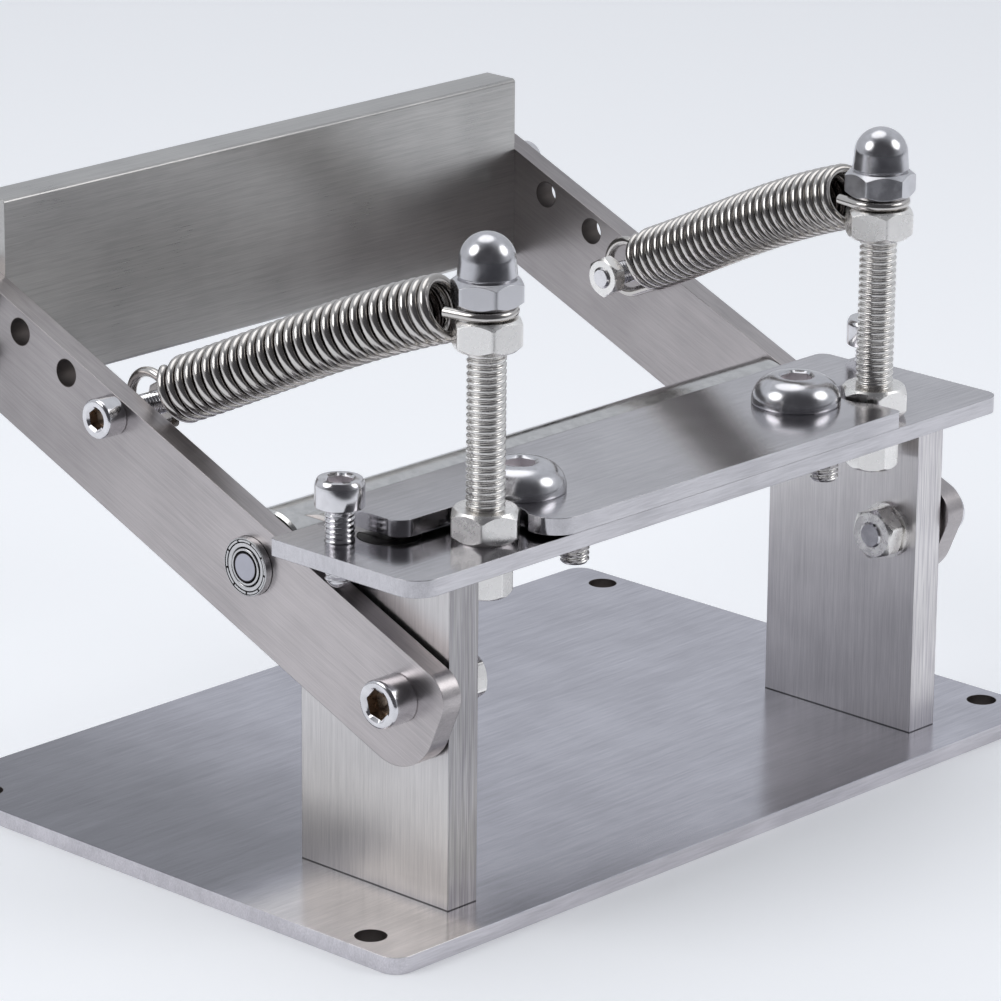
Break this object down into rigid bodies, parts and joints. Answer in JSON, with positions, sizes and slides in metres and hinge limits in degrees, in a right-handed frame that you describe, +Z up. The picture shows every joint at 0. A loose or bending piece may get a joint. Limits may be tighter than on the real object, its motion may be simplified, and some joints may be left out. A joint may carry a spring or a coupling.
{
  "type": "leather splitting machine",
  "caption": "Bench leather splitter: a spring-loaded lever presses a roller up under a clamped blade, and stop screws set the gap.",
  "frame": {"origin": "middle of the four base holes, on the underside of the base plate", "axes": "+X to the right along the blade, +Y from the blade to the handle plate, +Z up"},
  "size_m": [0.2, 0.1536, 0.1372],
  "materials": {
    "plate_steel": "stainless plate, brushed along its length, cut edges satin",
    "blade_steel": "hardened, finely ground, bright bevel",
    "roller_steel": "turned and polished",
    "black_screw": "black oxide",
    "bearing_steel": "ground rings with pressed shields",
    "spring_steel": "drawn spring wire, bright",
    "screw_steel": "polished stainless fasteners"
  },
  "bodies": {
    "frame": {"base_plate": "plate_steel", "bed_plate": "plate_steel", "blade": "blade_steel", "clamp_plate": "plate_steel", "upright_left": "plate_steel", "base_screws_left": "black_screw", "bed_screw_left": "black_screw", "clamp_screw_left": "screw_steel", "heel_screw_left": "black_screw", "stud_left": "screw_steel", "low_nut_left": "screw_steel", "base_nut_left": "screw_steel", "eye_nut_left": "screw_steel", "cap_nut_left": "screw_steel", "pivot_screw_left": "screw_steel", "pivot_spacer_left": "screw_steel", "pivot_washer_left": "screw_steel", "pivot_nut_left": "screw_steel", "spring_left": "spring_steel", "upright_right": "plate_steel", "base_screws_right": "black_screw", "bed_screw_right": "black_screw", "clamp_screw_right": "screw_steel", "heel_screw_right": "black_screw", "stud_right": "screw_steel", "low_nut_right": "screw_steel", "base_nut_right": "screw_steel", "eye_nut_right": "screw_steel", "cap_nut_right": "screw_steel", "pivot_screw_right": "screw_steel", "pivot_spacer_right": "screw_steel", "pivot_washer_right": "screw_steel", "pivot_nut_right": "screw_steel", "spring_right": "spring_steel"},
    "lever": {"handle_plate": "plate_steel", "arm_left": "plate_steel", "bearing_ring_left": "bearing_steel", "spring_screw_left": "screw_steel", "spring_nut_left": "screw_steel", "plate_screws_left": "screw_steel", "arm_right": "plate_steel", "bearing_ring_right": "bearing_steel", "spring_screw_right": "screw_steel", "spring_nut_right": "screw_steel", "plate_screws_right": "screw_steel"},
    "roller": {"roller": "roller_steel", "bearing_race_left": "bearing_steel", "bearing_race_right": "bearing_steel"},
    "adjust_left": {"adjust_screw_left": "screw_steel"},
    "adjust_right": {"adjust_screw_right": "screw_steel"}
  },
  "joints": [
    {"name": "lever_pivot", "type": "hinge", "parent": "frame", "child": "lever", "pos_m": [0, -0.0504, 0.0477], "axis": [-1, 0, 0], "range_deg": [0, 12], "stiffness_Nm_per_rad": 38, "springref_deg": -6.88, "deforming": ["spring_left", "spring_right"]},
    {"name": "roller_spin", "type": "hinge", "parent": "lever", "child": "roller", "pos_m": [0, -0.00927, 0.06495], "axis": [1, 0, 0], "continuous": true},
    {"name": "adjust_left_travel", "type": "slide", "parent": "frame", "child": "adjust_left", "axis": [0, 0, 1], "range_m": [0, 0.005]},
    {"name": "adjust_right_travel", "type": "slide", "parent": "frame", "child": "adjust_right", "axis": [0, 0, 1], "range_m": [0, 0.005]}
  ]
}
